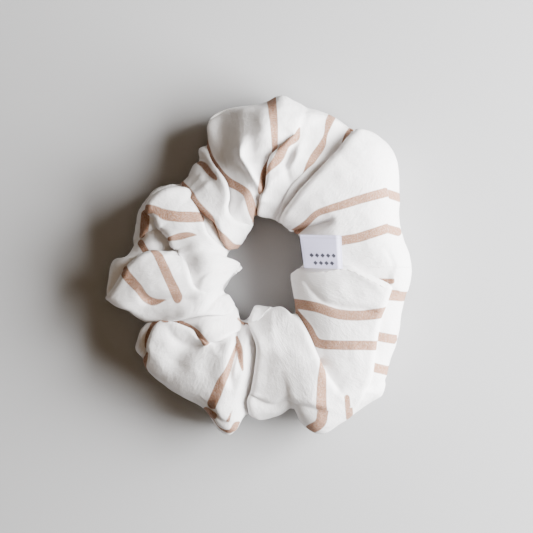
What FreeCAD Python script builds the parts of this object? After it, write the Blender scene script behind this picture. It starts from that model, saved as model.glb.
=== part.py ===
"""Gathered fabric scrunchie: a cloth tube sewn into a ring round an elastic band.

Units are millimetres.  +Z is up, the scrunchie lies flat on z = 0 and the origin is the centre
of the ring on that plane.  The cover is held as two half rings that part along X when the
elastic is stretched.  Each half is a hollow casing: its cavity is the channel that the elastic
lies in, and its puffs follow the lobes of the gathered cloth.
"""
import FreeCAD, Part
import math
import os

V = FreeCAD.Vector
UP = V(0, 0, 1)

# ---- driving dimensions -------------------------------------------------------------------
HOLE_R = 12.5            # free hole that the hair goes through
TUBE_INNER_R = 10.6      # where the inner puffs would reach before the hole trims them
CREST_H = 34.0           # usual height of the ring's crest above the surface
WALL = 1.0               # gathered cloth: a few folded layers of 0.35 mm fabric
HALF_GAP = 0.3           # gap between the two half covers at x = 0
UNDERCUT = 1.4           # how far the tube section dips under z = 0 before the flat is cut

# The gathered cloth's lobes: (angle in degrees from +X, outer reach, share of the crest height).
LOBES = [
    (0, 55.0, 0.97),
    (20, 54.0, 0.94),
    (47, 63.5, 1.03),
    (80, 62.5, 1.04),
    (108, 56.5, 1.00),
    (128, 45.5, 0.92),
    (150, 49.0, 0.97),
    (165, 47.5, 0.94),
    (182, 55.3, 1.00),
    (205, 52.5, 0.94),
    (225, 55.5, 1.01),
    (240, 55.5, 0.97),
    (258, 62.8, 0.97),
    (273, 56.0, 0.91),
    (292, 64.0, 0.97),
    (307, 65.5, 0.97),
    (330, 57.5, 0.94),
]

SECTION_STEP = 7.6       # degrees between the sections that a half is lofted through
HALF_SPAN = 95.0         # each half is lofted a little past its cut plane
REACH = 90.0             # the cutting blocks reach this far from the centre
BELOW = -30.0            # and this far under z = 0

FLANGE_Z = 12.0          # underside of the long seam's allowance, inside the outer wall
FLANGE_T = 1.2
FLANGE_DEPTH = 8.0
FLANGE_CLEAR = 12.0      # the allowance keeps this far out from the hole
STITCH_R = 0.22
STITCH_PITCH = 2.6
STITCH_LENGTH = 1.9
STITCH_INSET = 3.0       # the stitch line's distance from the outer wall
STITCH_SPAN = 86.0       # degrees of stitching on each side of a half's middle

SEAM_START = -10.5       # the closing seam's lap, in degrees round the ring
SEAM_END = -5.0
LAP_H = 1.0              # the lap stands this far above the cover
TOPSTITCH_IN = 5.0       # the topstitching starts this far out from the hole
TOPSTITCH_OUT = 6.0      # and stops this far short of the outer wall

BAND_R = 28.0            # braided elastic, on edge in the channel
BAND_T = 1.2
BAND_H = 8.0
BAND_Z = 2.0
JOIN_ANGLE = 200.0       # middle of the elastic's lapped join
JOIN_LENGTH = 12.0
JOIN_GAP = 0.05
ZIGZAG_LEGS = 5
ZIGZAG_SPAN = 0.7        # share of the join that the zigzag runs along
ZIGZAG_LOW = 0.25        # its corners, as shares of the elastic's width
ZIGZAG_HIGH = 0.75
ZIGZAG_LEG = 0.86        # share of each leg that is thread, the rest is the turn at a corner

LABEL_W = 14.5           # folded woven loop label
LABEL_L = 12.0
LABEL_T = 0.8
LABEL_FOLD = 0.1         # air left between its two layers
LABEL_X = 14.4           # its inner edge
LABEL_Y = -0.5           # its sewn edge, where it lifts
LABEL_TILT = 9.0         # degrees, rising away from the hole as the cloth does
LABEL_CLEAR = 0.6        # air under it
LABEL_EDGE = 0.3         # rounding of its fold
LABEL_AIR_OVER = 1.0     # the air between the layers is cut this far past the open edges
LABEL_PROBES = 8         # steps across its width at which the cover is measured
PROBE_LOW = 5.0          # the cover's top is looked for between these heights
PROBE_HIGH = 80.0


def lobe(angle):
    """Outer reach and crest height of the cloth at an angle, eased between the lobes."""
    angle = angle % 360.0
    following = LOBES[1:] + [(LOBES[0][0] + 360.0, LOBES[0][1], LOBES[0][2])]
    for (a0, reach0, crest0), (a1, reach1, crest1) in zip(LOBES, following):
        if a0 <= angle <= a1:
            ease = 0.5 - 0.5 * math.cos(math.pi * (angle - a0) / (a1 - a0))
            reach = reach0 + (reach1 - reach0) * ease
            crest = crest0 + (crest1 - crest0) * ease
            return reach, crest * CREST_H
    raise ValueError("angle outside the ring")


def polar(radius, angle, z):
    a = math.radians(angle)
    return V(radius * math.cos(a), radius * math.sin(a), z)


def tube_section(angle, inset):
    """Closed rounded section of the gathered tube at an angle, drawn in by inset."""
    reach, crest = lobe(angle)
    inner = TUBE_INNER_R + inset
    outer = reach - inset
    top = crest - inset
    low = inset - UNDERCUT
    width = outer - inner
    height = top - low
    outline = [
        (inner, low + 0.48 * height),
        (inner + 0.16 * width, low + 0.90 * height),
        (inner + 0.44 * width, top),
        (outer - 0.17 * width, low + 0.82 * height),
        (outer, low + 0.42 * height),
        (outer - 0.12 * width, low + 0.05 * height),
        (inner + 0.50 * width, low),
        (inner + 0.12 * width, low + 0.06 * height),
    ]
    corner = outline[0]      # the curve closes with a corner here, which the hole trims away
    curve = Part.BSplineCurve()
    curve.interpolate([polar(r, angle, z) for r, z in outline + [corner]])
    return Part.Wire([curve.toShape()])


def tube_loft(centre_angle, inset, span=HALF_SPAN):
    """Solid half tube through its sections, on both sides of centre_angle."""
    count = int(round(2 * span / SECTION_STEP))
    angles = [centre_angle - span + 2 * span * i / count for i in range(count + 1)]
    return Part.makeLoft([tube_section(a, inset) for a in angles], True, False)


def slab(low, high):
    """Everything between two heights."""
    return Part.makeBox(2 * REACH, 2 * REACH, high - low, V(-REACH, -REACH, low))


def half_space(side):
    """Everything on one side of the cut plane, half the gap away from it."""
    edge = HALF_GAP / 2
    corner = V(edge if side > 0 else -edge - REACH, -REACH, -REACH)
    return Part.makeBox(REACH, 2 * REACH, 2 * REACH, corner)


def core(radius):
    """Upright cylinder through the hole."""
    return Part.makeCylinder(radius, 2 * REACH, V(0, 0, -REACH), UP)


def outer_body(centre_angle):
    """The half tube's outside: flat underneath and open at the hole."""
    body = tube_loft(centre_angle, 0.0)
    return body.cut(slab(BELOW, 0.0)).cut(core(HOLE_R))


def channel(centre_angle):
    """The hollow that the elastic lies in, with the seam allowance left standing in it."""
    hollow = tube_loft(centre_angle, WALL).cut(slab(BELOW, WALL)).cut(core(HOLE_R + WALL))
    inside = tube_loft(centre_angle, WALL + FLANGE_DEPTH)
    ledge = slab(FLANGE_Z, FLANGE_Z + FLANGE_T).cut(inside).cut(core(HOLE_R + FLANGE_CLEAR))
    return hollow.cut(ledge)


def closing_lap():
    """The raised band where one end of the tube is folded in and lapped over the other."""
    middle = 0.5 * (SEAM_START + SEAM_END)
    angles = [SEAM_START, middle, SEAM_END]
    raised = Part.makeLoft([tube_section(a, -LAP_H) for a in angles], True, False)
    return raised.cut(slab(BELOW, 0.0)).cut(core(HOLE_R))


def cover(side):
    centre_angle = 0.0 if side > 0 else 180.0
    outside = outer_body(centre_angle)
    if side > 0:
        outside = outside.fuse(closing_lap()).removeSplitter()
    shell = outside.cut(channel(centre_angle))
    return shell.common(half_space(side))


def stitch(middle, direction, length=STITCH_LENGTH):
    """One thread segment, round and blunt, along a direction."""
    start = middle - direction * (0.5 * length)
    return Part.makeCylinder(STITCH_R, length, start, direction)


def long_seam_stitches(side):
    """The running stitches on the seam allowance inside the outer wall."""
    stitches = []
    angle = -STITCH_SPAN
    while angle < STITCH_SPAN:
        place = angle + (0.0 if side > 0 else 180.0)
        radius = lobe(place)[0] - WALL - STITCH_INSET
        ahead = lobe(place + 1.0)[0] - WALL - STITCH_INSET
        here = polar(radius, place, FLANGE_Z + FLANGE_T)
        there = polar(ahead, place + 1.0, FLANGE_Z + FLANGE_T)
        direction = (there - here).normalize()
        stitches.append(stitch(here, direction))
        angle += math.degrees(STITCH_PITCH / radius)
    return Part.makeCompound(stitches)


def surface_height(shape, x, y):
    """Height of the highest point of a shape over (x, y)."""
    probe = Part.makeLine(V(x, y, PROBE_LOW), V(x, y, PROBE_HIGH))
    return shape.common(probe).BoundBox.ZMax


def closing_seam_stitches(right_cover):
    """The topstitching across the ring that holds the lap down and catches the label."""
    angle = 0.5 * (SEAM_START + SEAM_END)
    outward = polar(1.0, angle, 0.0)
    stitches = []
    radius = HOLE_R + TOPSTITCH_IN
    while radius < lobe(angle)[0] - TOPSTITCH_OUT:
        near = outward * (radius - 0.5)
        far = outward * (radius + 0.5)
        near.z = surface_height(right_cover, near.x, near.y)
        far.z = surface_height(right_cover, far.x, far.y)
        stitches.append(stitch((near + far) * 0.5, (far - near).normalize()))
        radius += STITCH_PITCH
    return Part.makeCompound(stitches)


def elastic_band():
    """Braided elastic loop with its two ends lapped side by side."""
    outer = Part.makeCylinder(BAND_R + BAND_T / 2, BAND_H, V(0, 0, BAND_Z))
    inner = Part.makeCylinder(BAND_R - BAND_T / 2, BAND_H, V(0, 0, BAND_Z))
    ring = outer.cut(inner)
    sweep = math.degrees(JOIN_LENGTH / BAND_R)
    lap_outer = Part.makeCylinder(BAND_R + 1.5 * BAND_T, BAND_H, V(0, 0, BAND_Z), UP, sweep)
    lap_inner = Part.makeCylinder(BAND_R, BAND_H, V(0, 0, BAND_Z), UP, sweep)
    lap = lap_outer.cut(lap_inner)
    lap.rotate(V(0, 0, 0), UP, JOIN_ANGLE - sweep / 2)
    return ring.fuse(lap).removeSplitter()


def elastic_join_stitches():
    """Zigzag thread that sews the elastic's lap."""
    sweep = math.degrees(JOIN_LENGTH / BAND_R)
    radius = BAND_R + 1.5 * BAND_T + STITCH_R + JOIN_GAP
    corners = []
    for i in range(ZIGZAG_LEGS + 1):
        angle = JOIN_ANGLE + ZIGZAG_SPAN * sweep * (i / ZIGZAG_LEGS - 0.5)
        height = BAND_Z + BAND_H * (ZIGZAG_LOW if i % 2 else ZIGZAG_HIGH)
        corners.append(polar(radius, angle, height))
    legs = []
    for start, end in zip(corners, corners[1:]):
        leg = end - start
        foot = start + leg * (0.5 - 0.5 * ZIGZAG_LEG)
        legs.append(Part.makeCylinder(STITCH_R, leg.Length * ZIGZAG_LEG, foot, leg))
    return Part.makeCompound(legs)


def label(right_cover):
    """Woven loop: two layers joined by the fold at the far end, lying on the inner shoulder."""
    block = Part.makeBox(LABEL_W, LABEL_L, LABEL_T)
    far = [e for e in block.Edges if abs(e.BoundBox.YMin - LABEL_L) < 1e-6]
    block = block.makeFillet(LABEL_EDGE, [e for e in far if e.BoundBox.XLength > 1.0])
    layer = (LABEL_T - LABEL_FOLD) / 2
    over = LABEL_AIR_OVER
    air_length = LABEL_L - layer
    air = Part.makeBox(LABEL_W + 2 * over, air_length, LABEL_FOLD, V(-over, -over, layer))
    loop = block.cut(air)
    loop.rotate(V(0, 0, 0), V(0, 1, 0), -LABEL_TILT)
    slope = math.tan(math.radians(LABEL_TILT))
    level = math.cos(math.radians(LABEL_TILT))
    lifts = []
    for i in range(LABEL_PROBES + 1):
        x = LABEL_W * level * i / LABEL_PROBES
        for y in (LABEL_Y - LABEL_AIR_OVER, LABEL_Y + LABEL_L / 2, LABEL_Y + LABEL_L):
            lifts.append(surface_height(right_cover, LABEL_X + x, y) - x * slope)
    seat = V(LABEL_X, LABEL_Y, max(lifts) + LABEL_CLEAR / level)
    loop.translate(seat)
    print("label hinge at", [round(c, 2) for c in seat])
    return loop


def build():
    right_cover = cover(1)
    return {
        "cover_left": cover(-1),
        "cover_right": right_cover,
        "long_seam_thread_left": long_seam_stitches(-1),
        "long_seam_thread_right": long_seam_stitches(1),
        "closing_seam_thread": closing_seam_stitches(right_cover),
        "elastic_band": elastic_band(),
        "elastic_join_thread": elastic_join_stitches(),
        "label": label(right_cover),
    }


def main():
    os.makedirs("parts", exist_ok=True)
    for name, shape in build().items():
        shape.exportStep("parts/%s.step" % name)
        box = shape.BoundBox
        size = [round(s, 1) for s in (box.XLength, box.YLength, box.ZLength)]
        print(name, "valid", shape.isValid(), "solids", len(shape.Solids), "volume",
              round(shape.Volume, 1), "size", size, "z", round(box.ZMin, 2), round(box.ZMax, 2))


main()
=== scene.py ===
import math

import bpy
import numpy as np
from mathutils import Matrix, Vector


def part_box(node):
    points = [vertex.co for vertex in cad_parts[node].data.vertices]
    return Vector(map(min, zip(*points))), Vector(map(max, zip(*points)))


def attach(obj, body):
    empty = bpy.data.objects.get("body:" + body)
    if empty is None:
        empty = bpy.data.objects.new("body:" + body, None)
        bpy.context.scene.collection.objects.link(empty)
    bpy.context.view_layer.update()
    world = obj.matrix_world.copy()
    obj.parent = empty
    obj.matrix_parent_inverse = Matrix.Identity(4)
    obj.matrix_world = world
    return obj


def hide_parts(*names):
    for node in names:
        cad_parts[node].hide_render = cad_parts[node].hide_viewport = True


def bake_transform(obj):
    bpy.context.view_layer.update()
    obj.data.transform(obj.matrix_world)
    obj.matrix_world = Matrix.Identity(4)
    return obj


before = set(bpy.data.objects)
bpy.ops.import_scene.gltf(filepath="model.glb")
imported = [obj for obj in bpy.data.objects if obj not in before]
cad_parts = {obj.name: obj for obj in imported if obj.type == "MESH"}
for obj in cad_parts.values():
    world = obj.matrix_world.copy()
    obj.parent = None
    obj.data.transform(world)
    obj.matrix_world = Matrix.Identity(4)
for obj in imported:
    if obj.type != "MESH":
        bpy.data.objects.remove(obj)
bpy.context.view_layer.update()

# Lengths in this script are millimetres, and MM turns them into the frame's metres.
MM = 0.001
SEED = 11

# ---- the cover's own size -------------------------------------------------------------------
ROUND = 512              # mesh steps round the ring
OVER = 112               # mesh steps over the top, from the outer to the inner silhouette
UNDER = 34               # mesh steps back along the underside
CREST = 33.2             # usual height of the ring's crest
MID_SHARE = 0.42         # height of the widest part, as a share of the crest
CLOTH = 0.38             # thickness of the woven cotton
LEAN = 0.22              # the crest leans this share of the half width towards +X
LIE = 0.05               # the underside lies this far above the surface
DEPTH = 1.55             # all creases are this much deeper than their own figures
OUTLINE_STEP = 0.5       # silhouettes are drawn in steps of this length
OUTER_PASSES = 1         # how many times each one is then smoothed round the ring
INNER_PASSES = 2
CREST_PASSES = 30

# The tube's section is a superellipse: its powers in each quarter, where 2 is an ellipse.
SECTION_STEPS = 1440
OUTER_SHOULDER = 2.35
INNER_SHOULDER = 2.4
LABEL_SHOULDER = 0.8     # the inner shoulder's power is this much greater at the label
LOWER_HALF = 3.4
LABEL_AT = 15.0          # where round the ring the label lies, and how far its effect reaches
LABEL_REACH = 32.0

# Silhouettes seen from above.
OUTER = [
    (6.7, 61.7), (9.2, 61.7), (12.8, 59.9), (18.2, 57.4), (25.4, 55.3), (32.6, 52), (39.8, 49.1),
    (45.2, 45.5), (49.1, 40.1), (50.2, 34.7), (50.6, 25.7), (50.6, 18.5), (51.7, 11.3),
    (54.5, 4.1), (55.3, -3.1), (54.2, -8.5), (52.4, -15.7), (50.6, -26.5), (47.7, -35.5),
    (47, -40.9), (45.2, -46.3), (39.8, -49.9), (34.4, -53.5), (29, -57.1), (23.6, -60.3),
    (18.9, -59.9), (14.6, -56.6), (11.9, -52.4), (9.2, -53.4), (4.7, -55.1), (0.2, -55.7),
    (-4.1, -55.3),
    (-7, -59.6), (-11.3, -61.7), (-16, -58.9), (-18.9, -53.5), (-23.2, -49.9), (-28.6, -47),
    (-34, -43.4), (-39.4, -39.1), (-43, -34.4), (-45.5, -30.1), (-44.8, -26.5), (-43.3, -23.2),
    (-40.8, -19.4), (-44.2, -16.4), (-47.8, -14.3), (-53.1, -12.1), (-55.3, -6.7),
    (-54.9, -1.3), (-53.1, 3.1), (-49.5, 4.9),
    (-47.3, 7.7), (-45.5, 12.4), (-45.2, 18.5), (-43, 23.9), (-39.4, 28.6), (-34, 31.1),
    (-27.5, 32.9), (-25, 37.6), (-22.5, 42.7), (-21.1, 45.5), (-20.3, 50.9), (-18.9, 54.2),
    (-13.5, 57.1), (-7, 58.5), (0.9, 58.9),
]
INNER = [
    (0.2, 16), (8.5, 13.1), (11.3, 10.6), (14.2, 8.5), (14.6, 1.6), (11.7, -0.9), (10.3, -6.7),
    (10.3, -16.4), (5.2, -14.6), (-1.6, -13.9), (-5.2, -16.6), (-6.7, -12.8), (-9.9, -8.5),
    (-11.4, -7.8), (-5.9, -0.9), (-6.3, 0.9), (-9.9, 3.1), (-7.4, 5.9), (-2.3, 11), (-1.3, 12.8),
]

# Crest height round the ring: (degrees from +X, share of CREST).
CRESTS = [
    (0, 0.98), (20, 0.95), (47, 1.03), (80, 1.04), (100, 1.0), (118, 0.93), (135, 0.95),
    (150, 0.99), (165, 0.95), (182, 1.0), (205, 0.94), (225, 1.02), (240, 0.98), (258, 0.99),
    (273, 0.92), (292, 0.98), (307, 0.99), (330, 0.96),
]

# Creases between the puffs.  Each is (points, depths, upper side, outer end, inner end, slope):
# the points run from the outer edge inward, the depths are spread evenly along them, the upper
# side overhangs (L or R of the way they run, B for a plain groove), an end is open where the
# crease goes on down the wall and fades where it dies out on the puff, and the slope is how far
# the lower side takes to rise again.
CREASES = [
    ([(-20.4, 43.3), (-19, 37.5), (-16.2, 33.4), (-14, 29.5), (-12.9, 24.9), (-12.2, 21.6),
      (-9.9, 18), (-6.9, 15.5), (-3.9, 14.7)], [5, 6, 6, 7, 7, 5, 3, 3, 2.5], "R", 1, 1, 5),
    ([(-22.9, 37.6), (-20.7, 33.7), (-18.5, 30.1), (-16.3, 25.7)], [3.5, 3, 2, 1], "B", 1, 0, 3),
    ([(-27.6, 31.2), (-25.6, 27.4), (-24, 24.9), (-21.8, 22.1), (-18.5, 18.8), (-15.5, 16.1),
      (-13.8, 13.1), (-12.4, 10), (-10.2, 6.7)], [5], "L", 1, 1, 4),
    ([(-24.7, 24.5), (-22.5, 20.3), (-20.5, 15.8), (-18.9, 11.7), (-16, 8.5), (-13.5, 6.5),
      (-10.9, 4.3)], [3], "R", 0, 1, 2.5),
    ([(-20.8, 20.3), (-18, 15.2), (-15.1, 10.7)], [2.5], "B", 0, 0, 2),
    ([(-40.5, 20.7), (-38.5, 22.9), (-35.3, 25.5), (-30.2, 26.8), (-26.3, 26), (-24.7, 24.5)],
     [6], "R", 0, 0, 9),
    ([(-37.9, 17.8), (-35.3, 15.2), (-32.7, 12.6), (-31.1, 10.7), (-30.5, 7.8), (-29.2, 5.2)],
     [6], "L", 0, 0, 4.5),
    ([(-44.6, 9.4), (-43, 10.7), (-40.5, 12.6), (-37.9, 13.8), (-35.3, 15.2)], [3], "L", 1, 0, 4),
    ([(-48.8, -2.8), (-46.9, 0.1), (-44.3, 2.3), (-41.7, 4.1), (-40.1, 4.8), (-37.2, 5.1),
      (-32.7, 4.8), (-29.5, 5.9)], [3.5], "R", 1, 0, 4),
    ([(-27.6, 4.3), (-26, 0.7), (-25, -3.1), (-23.7, -6.7), (-21.5, -8.3)], [2.5], "R", 0, 0, 6),
    ([(-41.8, -9.5), (-39.4, -11.2), (-34.5, -11.3), (-27.6, -11.1), (-21.1, -11.6),
      (-14.2, -11.2)], [2.5, 2, 0.8], "B", 0, 0, 2.5),
    ([(-53.8, -9.9), (-48.7, -13.3), (-43.8, -15.7), (-40, -17.3), (-35.9, -17.8),
      (-29.7, -17.2), (-23.9, -16.4), (-17.7, -16.1), (-11.5, -16.4), (-9.4, -14), (-9, -10.9)],
     [7, 8, 7, 4, 1.5], "L", 1, 0, 4.5),
    ([(-43.5, -23.3), (-40, -21.4), (-35.9, -20.4), (-32.5, -20.8), (-28.3, -22.1),
      (-24.5, -23.6), (-22.1, -25.4)], [5], "R", 1, 0, 3),
    ([(-17.7, -27.1), (-14.2, -25.2), (-10.8, -23.5), (-8, -22.1), (-5.3, -20.5)], [4.5], "L",
     0, 1, 4),
    ([(-33.5, -23.3), (-31.1, -26.1), (-27.6, -28.1), (-23.5, -28.5), (-20.1, -28.1)], [2.0],
     "B", 0, 0, 2.5),
    ([(-41.8, -34), (-40, -31.6), (-40, -28.1), (-38.3, -24.7), (-35.6, -21.6)], [3], "R",
     1, 0, 3),
    ([(-9.9, -43.2), (-10.6, -39.5), (-9.9, -36), (-8.8, -31.9), (-8.5, -27.7), (-8.1, -23.6)],
     [2, 3.5, 4.5], "B", 0, 1, 2.2),
    ([(-6.4, -37.4), (-7.5, -33.3), (-7.1, -27.7)], [2.4], "B", 0, 0, 1.5),
    ([(-2.6, -54.6), (-3.1, -51.5), (-2.6, -47.7), (-0.9, -45), (0.3, -36.7), (0.8, -31.2),
      (0.6, -27.7), (-1.3, -22.2), (-3, -17.4)], [3, 5, 7, 6.5, 6, 6, 6], "R", 1, 1, 8),
    ([(-2.1, -47.2), (4.7, -49.4), (9.2, -47.6), (13.7, -49), (21.8, -50.8)], [1.4], "L",
     0, 0, 3),
    ([(-18.1, -49.4), (-15.7, -51.5), (-13.7, -54.3), (-11.2, -55)], [2], "L", 0, 0, 2),
    ([(-17.4, -55.3), (-14, -58.1), (-10.2, -59.3)], [1.5], "L", 0, 0, 2),
    ([(29, -45), (23.9, -38.2), (19.7, -30.5), (16.4, -24.6), (11.8, -18.2), (9.8, -16.2)],
     [1, 2.5, 4, 6, 8], "L", 0, 1, 4),
    ([(47.3, -6.8), (45.2, -13.6), (43, -19.5), (41.3, -30.5), (40.1, -39), (37.9, -44.1)],
     [2.5], "R", 0, 0, 10),
    ([(47.4, -7.5), (42.8, -5.4), (35.9, -1.8), (30.5, 0.3), (22, -0.8), (15.9, -0.9),
      (11.6, -1)], [3, 4, 2.5, 2, 2, 2], "L", 0, 1, 5),
    ([(27, 17.5), (25, 16.5), (21, 15), (16, 13.5), (11.5, 10.5)], [0.3, 2, 4.5, 5, 5], "B",
     0, 1, 3),
    ([(37.5, 49.9), (34.3, 47.3), (31.1, 44.1), (28.5, 40.6), (24.3, 36.1), (20.5, 31.6),
      (16.6, 27.1), (14.4, 23.9), (11.5, 19.1), (9.9, 15.2), (8.7, 13.2)], [5], "L", 1, 1, 5.5),
    ([(19.2, 37.4), (16, 33.2), (12.5, 28.7), (10.2, 23.9), (8, 17.8), (7, 15.2)],
     [1, 3, 4.5, 5, 5], "L", 0, 1, 4.5),
    ([(16.6, 54.7), (14.9, 49.3), (13.9, 44.4), (11.2, 38.7), (9.9, 35.5), (10.7, 31.6),
      (11.8, 28.1)], [0.6, 2.2, 2.8, 2.6], "B", 1, 0, 4),
    ([(12.7, 47.7), (8.6, 43.3), (4.7, 39.4), (3.9, 35), (3.6, 27.9), (2, 24.6), (1.7, 22.4),
      (0.6, 19.6), (0.1, 16.2)], [2, 3, 4, 5, 6, 6, 5, 4], "L", 0, 1, 4),
    ([(11.8, -52.4), (13, -50.5), (14.5, -48)], [2.2, 0.3], "B", 1, 0, 3),
    ([(-20.2, 47.5), (-18.6, 52), (-13.6, 55.4), (-7, 57.1), (-1.5, 57.6)], [1.2], "R", 0, 0, 2),
    ([(50.5, -42), (45, -41), (38.5, -44.5)], [2], "B", 1, 0, 3),
    ([(44.9, 6.7), (47.1, 2.2), (47.7, -2.9)], [0.8], "B", 0, 0, 2),
    ([(15.4, -5), (24, -13), (41, -16)], [1.2], "B", 0, 0, 4),
]
LIP = 1.15               # the upper side of a crease drops over about this distance
ROLL = 0.07              # a folded edge stands up by this share of its crease's depth
CREASE_SUM = 2.5         # exponent with which creases that cross are added
LIP_POWER = 1.6
LAP = 0.35               # the upper side overhangs by this share of the crease's depth
LAP_AWAY = 1.4           # most of all at this distance from the crease
ROLL_AWAY = 1.7          # where the folded edge stands up, and over what width
ROLL_WIDE = 1.2
RUN_ON = 5               # an open crease or stripe is carried this far past its last point
FADE = (-2.5, 3.5)       # a crease that dies out does so between these distances past its end
DOWN_FADE = 4.0          # a crease that isn't open fades over this distance down the wall
SLOPES = 5               # a crease is worked out for this many slopes round it
MARGIN = 6               # and this far past them

# Folds that stand up: (points, height, half-width).
RIDGES = [
    ([(-5.5, 44.4), (-6.9, 41.6), (-6.6, 38.6), (-4.9, 36.1), (-2.2, 31.7), (0.6, 27),
      (1.7, 22.4)], 3.2, 1.3),
    ([(-4.4, 49.6), (-1.3, 46.1), (-0.8, 41.9), (-1.6, 37.8)], 0.5, 1.4),
    ([(14.2, 46.8), (12.9, 39.1), (6.9, 30.6), (3.5, 23), (1.4, 16.2)], 1.0, 1.4),
    ([(-19.9, 41), (-16.6, 33.7), (-14.1, 28.8), (-13.5, 24.9)], 1.0, 1.4),
    ([(-9.2, -48.1), (-7.1, -42.9), (-5.7, -37.7), (-5.2, -32.6), (-4.4, -26.4), (-2.3, -21.5)],
     1.0, 1.4),
    ([(43.7, -11), (40.5, -7.7), (35, -4.1), (30.9, -0.9)], 0.6, 0.8),
]

# Broad swells and hollows: (one end, other end, half-width, height, negative for a hollow).
SWELLS = [
    ((-13, 54), (-14, 41), 5.0, -5.0),
    ((-2.4, 43.4), (-2.4, 39.4), 2.5, -2.0),
    ((1, 57), (1.5, 48), 3.5, 2.5),
    ((-35, 11), (-33, 7), 4.0, -4.0),
    ((-27.5, 6), (-26.5, 1), 3.5, -2.5),
    ((-9.9, -42), (-9.9, -39.5), 1.6, -1.2),
    ((-30, -33), (-26, -28), 5.0, -3.5),
    ((-12, -37), (-11, -29), 4.5, 2.5),
    ((13, -45), (14.5, -35), 5.0, 0.8),
    ((1.5, -44), (2.5, -34), 3.5, -2.0),
    ((19.5, -47), (19.5, -39), 4.0, 1.5),
    ((22.5, 50), (21, 43), 4.0, -3.0),
    ((17.5, 49), (17, 43), 3.0, -2.5),
    ((30, 48.5), (27, 43), 4.0, -3.5),
]

FOLD_WIDTHS = 4          # a fold or swell is worked out for this many half-widths round it
FOLD_MARGIN = 3
FOLD_FADE = (-1, 5)      # a ridge dies out between these distances past its end

# How each vertex takes the folds: by how far it faces up or down, and its height.
UP_FACING = (0.05, 0.55)
DOWN_FACING = (0.3, 0.8)
OFF_SURFACE = (1.5, 9)
WALL_SHARE = 0.55        # share of a crease's depth that carries on down the walls
WRINKLES = ((0.13, 8.0), (0.05, 3.0))   # heights and wavelengths
WRINKLE_LOW = 0.3        # share of the wrinkles that is left where the cloth lies on the surface
KEEP = 0.55              # share of its own place that a vertex keeps when the mesh is relaxed
RELAX_PASSES = 2

# Gathers at the hole and tucks down the outer wall: number, half-widths in radians, heights.
GATHERS = 34
GATHER_WIDTH = (0.03, 0.07)
GATHER_TALL = (0.2, 0.6)
GATHER_MEAN = 0.9        # their usual sum, taken off so that the cloth stays where it is
GATHER_SHOULDER = 0.2    # share of them that is left on the upper side of the inner wall
GATHER_UNDER = 0.8       # and underneath
FACING_HOLE = (0.2, 0.9)     # where the cloth turns towards the hole, and then down
TURNING_DOWN = (-0.1, 0.4)
FACING_SURFACE = (0.0, 0.6)
TUCKS = 26
TUCK_WIDTH = (0.05, 0.14)
TUCK_DEPTH = (1.0, 3.2)
TUCK_DRIFT = 0.09        # how far a tuck may slant by the time it is underneath
TUCK_POWER = 1.6
TUCK_FULL = 0.8          # share of the way down at which tucks have their full depth
TUCK_FLAT = (0.85, 1.0)  # where the weight of the ring presses them flatter
TUCK_PRESSED = 0.55      # and by how much
TUCK_RADII = (13, 24)    # they die out between these radii, towards the hole

# The seam along the tube, where the cut edges of the cloth meet.
LONG_SEAM = [
    (38, 50), (42.3, 44), (44.6, 35), (46, 26), (46, 20), (46, 11.5), (47, 4), (47.5, -2),
    (47.3, -6.8), (45.2, -13.6), (43, -19.5), (41.3, -30.5), (40.1, -39), (37.9, -44.1),
    (36.7, -49.2), (31.1, -50.8), (22.2, -51.1), (13.7, -49.7),
]

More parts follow.
